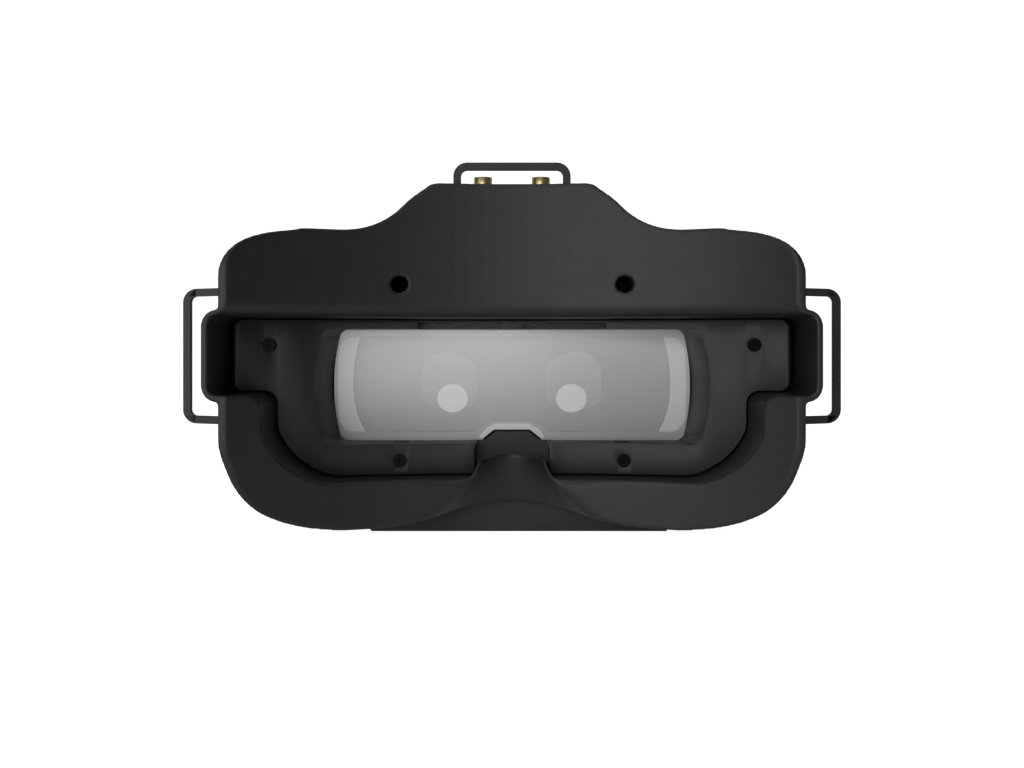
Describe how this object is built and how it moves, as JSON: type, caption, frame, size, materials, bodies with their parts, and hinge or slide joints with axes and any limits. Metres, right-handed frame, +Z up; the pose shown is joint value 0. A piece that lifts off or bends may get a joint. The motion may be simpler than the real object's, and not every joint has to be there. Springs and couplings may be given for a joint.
{
  "type": "fpv goggles",
  "caption": "Box-type video goggles with a hollow face side, one wide lens, hinged strap loops, twin antenna jacks, keys and a jog wheel.",
  "frame": {"origin": "middle of the bottom of the box round the whole object, under the flat belly", "axes": "+X to the wearer's right, +Y from the wearer to the front, +Z up"},
  "size_m": [0.222, 0.1, 0.1286],
  "materials": {
    "shell": "fine texture",
    "panel": "gloss",
    "surround": "fine texture",
    "lens": "clear acrylic",
    "gasket": "matte",
    "inner_frame": "moulded",
    "light_pipe": "clear",
    "screen": "gloss",
    "backlight": "diffuse white",
    "steel": "plated",
    "black_steel": "black oxide",
    "board": "solder mask",
    "chips": "moulded",
    "alu": "anodised",
    "gold": "gold plated",
    "fan": "moulded",
    "rubberised": "matte",
    "loop": "satin",
    "key": "satin"
  },
  "bodies": {
    "housing": {"rear_shell": "shell", "front_shell": "shell", "front_panel": "panel", "light_pipe": "light_pipe", "lens_surround": "surround", "surround_screws": "black_steel", "lens": "lens", "lens_gasket": "gasket", "chassis": "inner_frame", "light_tunnel": "inner_frame", "lcd_panel": "screen", "backlight": "backlight", "display_bracket": "steel", "bracket_screws": "black_steel", "main_board": "board", "board_chips": "chips", "heatsink": "alu", "receiver_board": "board", "shield_cans": "steel", "antenna_jacks": "gold", "antenna_washers": "gold", "antenna_nuts": "gold", "fan_frame": "fan", "fan_screws": "black_steel", "button_board": "board", "key_switches": "chips", "jog_board": "board", "housing_screws": "black_steel", "loop_pins_right": "steel", "loop_pins_left": "steel", "loop_pins_top": "steel", "hdmi_port": "steel", "av_jack": "chips", "card_slot": "steel", "power_inlet": "chips", "earphone_jack": "chips"},
    "strap_loop_right": {"strap_loop_right": "loop"},
    "strap_loop_left": {"strap_loop_left": "loop"},
    "strap_loop_top": {"strap_loop_top": "loop"},
    "power_button": {"power_button": "key"},
    "menu_button": {"menu_button": "key"},
    "jog_carrier": {"jog_carrier": "inner_frame"},
    "jog_wheel": {"jog_wheel": "rubberised"},
    "fan_rotor": {"fan_rotor": "fan"}
  },
  "joints": [
    {"name": "right_loop_swing", "type": "hinge", "parent": "housing", "child": "strap_loop_right", "pos_m": [0.0902, -0.014, 0.0626], "axis": [0, 0, 1], "range_deg": [-50, 50]},
    {"name": "left_loop_swing", "type": "hinge", "parent": "housing", "child": "strap_loop_left", "pos_m": [-0.0902, -0.014, 0.0626], "axis": [0, 0, -1], "range_deg": [-50, 50]},
    {"name": "top_loop_swing", "type": "hinge", "parent": "housing", "child": "strap_loop_top", "pos_m": [0, -0.01, 0.119], "axis": [1, 0, 0], "range_deg": [-50, 32]},
    {"name": "power_button_press", "type": "slide", "parent": "housing", "child": "power_button", "axis": [0, 0, -1], "range_m": [0, 0.0004], "stiffness_N_per_m": 1000},
    {"name": "menu_button_press", "type": "slide", "parent": "housing", "child": "menu_button", "axis": [0, 0, -1], "range_m": [0, 0.0004], "stiffness_N_per_m": 1000},
    {"name": "jog_press", "type": "slide", "parent": "housing", "child": "jog_carrier", "axis": [0, 0, -1], "range_m": [0, 0.0005], "stiffness_N_per_m": 1000},
    {"name": "jog_turn", "type": "hinge", "parent": "jog_carrier", "child": "jog_wheel", "pos_m": [0.056, 0.024, 0.0955], "axis": [1, 0, 0], "continuous": true},
    {"name": "fan_spin", "type": "hinge", "parent": "housing", "child": "fan_rotor", "pos_m": [0, 0.018, 0.0975], "axis": [0, 1, 0], "continuous": true}
  ]
}
